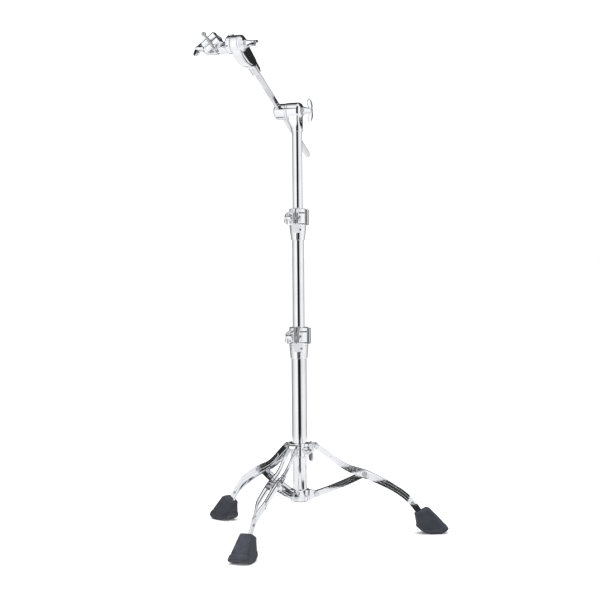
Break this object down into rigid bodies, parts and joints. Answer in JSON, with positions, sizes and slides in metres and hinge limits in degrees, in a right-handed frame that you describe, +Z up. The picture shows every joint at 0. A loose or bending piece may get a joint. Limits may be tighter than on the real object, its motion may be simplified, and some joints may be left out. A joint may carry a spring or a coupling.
{
  "type": "cymbal boom stand",
  "caption": "Chrome boom stand: double-braced folding tripod with rubber feet, telescoping clamped column, boom tilter, hexagonal boom rod and ratchet head with a rod clamp.",
  "frame": {"origin": "on the floor, on the axis of the column", "axes": "+Z up along the column; leg 1 and the boom point along -Y; the tilt axis and both head axes run along X"},
  "size_m": [0.515, 0.448, 0.9436],
  "materials": {
    "bolt_chrome": "bright plate",
    "cast_chrome": "polished plate over casting",
    "nylon": "satin",
    "rod_steel": "drawn bar, bright plate",
    "rubber": "moulded, matt, fine grain",
    "strip_chrome": "polished plate over pressed steel",
    "tube_chrome": "polished plate",
    "wing_chrome": "polished plate over casting",
    "zinc_steel": "zinc plate"
  },
  "bodies": {
    "base": {"base_tube": "tube_chrome", "base_tube_plug": "nylon", "brace_bracket": "cast_chrome", "brace_bracket_screws": "zinc_steel", "brace_pivot_bolts": "bolt_chrome", "lower_clamp_body": "cast_chrome", "lower_clamp_bushing": "nylon", "lower_clamp_screws": "zinc_steel", "lower_clamp_bolt": "bolt_chrome"},
    "lower_clamp_wing": {"lower_clamp_wing_nut": "wing_chrome"},
    "leg_slider": {"leg_bracket": "cast_chrome", "leg_bracket_liner": "nylon", "leg_pivot_bolts": "bolt_chrome"},
    "leg_slider_wing": {"leg_bracket_wing_bolt": "bolt_chrome"},
    "leg_1": {"leg_1_strips": "strip_chrome", "leg_1_rivets": "zinc_steel", "leg_1_foot": "rubber"},
    "brace_1": {"brace_1_strips": "strip_chrome", "brace_1_spacer": "zinc_steel"},
    "leg_2": {"leg_2_strips": "strip_chrome", "leg_2_rivets": "zinc_steel", "leg_2_foot": "rubber"},
    "brace_2": {"brace_2_strips": "strip_chrome", "brace_2_spacer": "zinc_steel"},
    "leg_3": {"leg_3_strips": "strip_chrome", "leg_3_rivets": "zinc_steel", "leg_3_foot": "rubber"},
    "brace_3": {"brace_3_strips": "strip_chrome", "brace_3_spacer": "zinc_steel"},
    "middle_guide": {"middle_tube_guide": "nylon"},
    "middle_column": {"middle_tube": "tube_chrome", "upper_clamp_body": "cast_chrome", "upper_clamp_bushing": "nylon", "upper_clamp_screws": "zinc_steel", "upper_clamp_bolt": "bolt_chrome"},
    "upper_clamp_wing": {"upper_clamp_wing_nut": "wing_chrome"},
    "upper_guide": {"upper_tube_guide": "nylon"},
    "upper_column": {"upper_tube": "tube_chrome", "tilter_body": "cast_chrome", "tilter_pin": "zinc_steel"},
    "boom_holder": {"boom_barrel": "cast_chrome", "tilter_axle": "cast_chrome"},
    "tilter_wing": {"tilter_wing_nut": "wing_chrome", "tilter_washer": "zinc_steel"},
    "boom": {"boom_rod": "rod_steel", "boom_rod_cap": "zinc_steel", "head_socket": "cast_chrome", "socket_pin": "zinc_steel"},
    "head": {"head_arm": "cast_chrome", "knuckle_bolt": "zinc_steel", "swivel_stud": "zinc_steel"},
    "knuckle_wing": {"knuckle_wing_nut": "wing_chrome"},
    "rod_clamp": {"rod_clamp_body": "cast_chrome", "jaw_hinge_pin": "zinc_steel", "jaw_bolt": "zinc_steel"},
    "jaw": {"rod_clamp_jaw": "cast_chrome"},
    "jaw_wing": {"jaw_wing_nut": "wing_chrome"},
    "swivel_wing": {"swivel_wing_nut": "wing_chrome"}
  },
  "joints": [
    {"name": "leg_bracket_slide", "type": "slide", "parent": "base", "child": "leg_slider", "axis": [0, 0, 1], "range_m": [0, 0.1135]},
    {"name": "leg_1_fold", "type": "hinge", "parent": "leg_slider", "child": "leg_1", "pos_m": [0, -0.031, 0.175], "axis": [1, 0, 0], "range_deg": [0, 50.01]},
    {"name": "brace_1_fold", "type": "hinge", "parent": "base", "child": "brace_1", "pos_m": [0, -0.031, 0.083], "axis": [-1, 0, 0], "range_deg": [0, 59.1]},
    {"name": "leg_2_fold", "type": "hinge", "parent": "leg_slider", "child": "leg_2", "pos_m": [0.02685, 0.0155, 0.175], "axis": [-0.5, 0.866, 0], "range_deg": [0, 50.01]},
    {"name": "brace_2_fold", "type": "hinge", "parent": "base", "child": "brace_2", "pos_m": [0.02685, 0.0155, 0.083], "axis": [0.5, -0.866, 0], "range_deg": [0, 59.1]},
    {"name": "leg_3_fold", "type": "hinge", "parent": "leg_slider", "child": "leg_3", "pos_m": [-0.02685, 0.0155, 0.175], "axis": [-0.5, -0.866, 0], "range_deg": [0, 50.01]},
    {"name": "brace_3_fold", "type": "hinge", "parent": "base", "child": "brace_3", "pos_m": [-0.02685, 0.0155, 0.083], "axis": [0.5, 0.866, 0], "range_deg": [0, 59.1]},
    {"name": "leg_bracket_wing_turn", "type": "hinge", "parent": "leg_slider", "child": "leg_slider_wing", "pos_m": [0.02598, -0.015, 0.169], "axis": [0.866, -0.5, 0], "continuous": true},
    {"name": "lower_clamp_wing_turn", "type": "hinge", "parent": "base", "child": "lower_clamp_wing", "pos_m": [-0.00523, -0.02862, 0.3848], "axis": [-0.9703, -0.2419, 0], "continuous": true},
    {"name": "middle_tube_slide", "type": "slide", "parent": "base", "child": "middle_guide", "axis": [0, 0, 1], "range_m": [-0.15, 0.085]},
    {"name": "middle_tube_turn", "type": "hinge", "parent": "middle_guide", "child": "middle_column", "pos_m": [0, 0, 0.4], "axis": [0, 0, 1], "continuous": true},
    {"name": "upper_clamp_wing_turn", "type": "hinge", "parent": "middle_column", "child": "upper_clamp_wing", "pos_m": [-0.00572, -0.02668, 0.6108], "axis": [-0.9703, -0.2419, 0], "continuous": true},
    {"name": "upper_tube_slide", "type": "slide", "parent": "middle_column", "child": "upper_guide", "axis": [0, 0, 1], "range_m": [-0.14, 0.11]},
    {"name": "upper_tube_turn", "type": "hinge", "parent": "upper_guide", "child": "upper_column", "pos_m": [0, 0, 0.7], "axis": [0, 0, 1], "continuous": true},
    {"name": "boom_tilt", "type": "hinge", "parent": "upper_column", "child": "boom_holder", "pos_m": [0, 0, 0.815], "axis": [1, 0, 0], "range_deg": [-40, 60]},
    {"name": "tilter_wing_turn", "type": "hinge", "parent": "boom_holder", "child": "tilter_wing", "pos_m": [0.02, 0, 0.815], "axis": [1, 0, 0], "continuous": true},
    {"name": "boom_rod_slide", "type": "slide", "parent": "boom_holder", "child": "boom", "axis": [0, -0.866, 0.5], "range_m": [-0.11, 0.125]},
    {"name": "head_tilt", "type": "hinge", "parent": "boom", "child": "head", "pos_m": [-0.033, -0.18619, 0.9225], "axis": [1, 0, 0], "range_deg": [-90, 90]},
    {"name": "knuckle_wing_turn", "type": "hinge", "parent": "head", "child": "knuckle_wing", "pos_m": [-0.033, -0.18619, 0.9225], "axis": [1, 0, 0], "continuous": true},
    {"name": "clamp_swivel", "type": "hinge", "parent": "head", "child": "rod_clamp", "pos_m": [-0.085, -0.18619, 0.918], "axis": [1, 0, 0], "range_deg": [-120, 120]},
    {"name": "swivel_wing_turn", "type": "hinge", "parent": "head", "child": "swivel_wing", "pos_m": [-0.105, -0.18619, 0.918], "axis": [1, 0, 0], "continuous": true},
    {"name": "jaw_open", "type": "hinge", "parent": "rod_clamp", "child": "jaw", "pos_m": [-0.0745, -0.1992, 0.9247], "axis": [-0.788, 0, -0.6157], "range_deg": [0, 8]},
    {"name": "jaw_wing_turn", "type": "hinge", "parent": "rod_clamp", "child": "jaw_wing", "pos_m": [-0.06342, -0.22099, 0.91052], "axis": [0.6157, 0, -0.788], "continuous": true}
  ],
  "couplings": [
    {"joint": "leg_1_fold", "follows": "leg_bracket_slide", "rad_per_m": 7.6887},
    {"joint": "brace_1_fold", "follows": "leg_bracket_slide", "rad_per_m": 9.087},
    {"joint": "leg_2_fold", "follows": "leg_bracket_slide", "rad_per_m": 7.6887},
    {"joint": "brace_2_fold", "follows": "leg_bracket_slide", "rad_per_m": 9.087},
    {"joint": "leg_3_fold", "follows": "leg_bracket_slide", "rad_per_m": 7.6887},
    {"joint": "brace_3_fold", "follows": "leg_bracket_slide", "rad_per_m": 9.087}
  ]
}
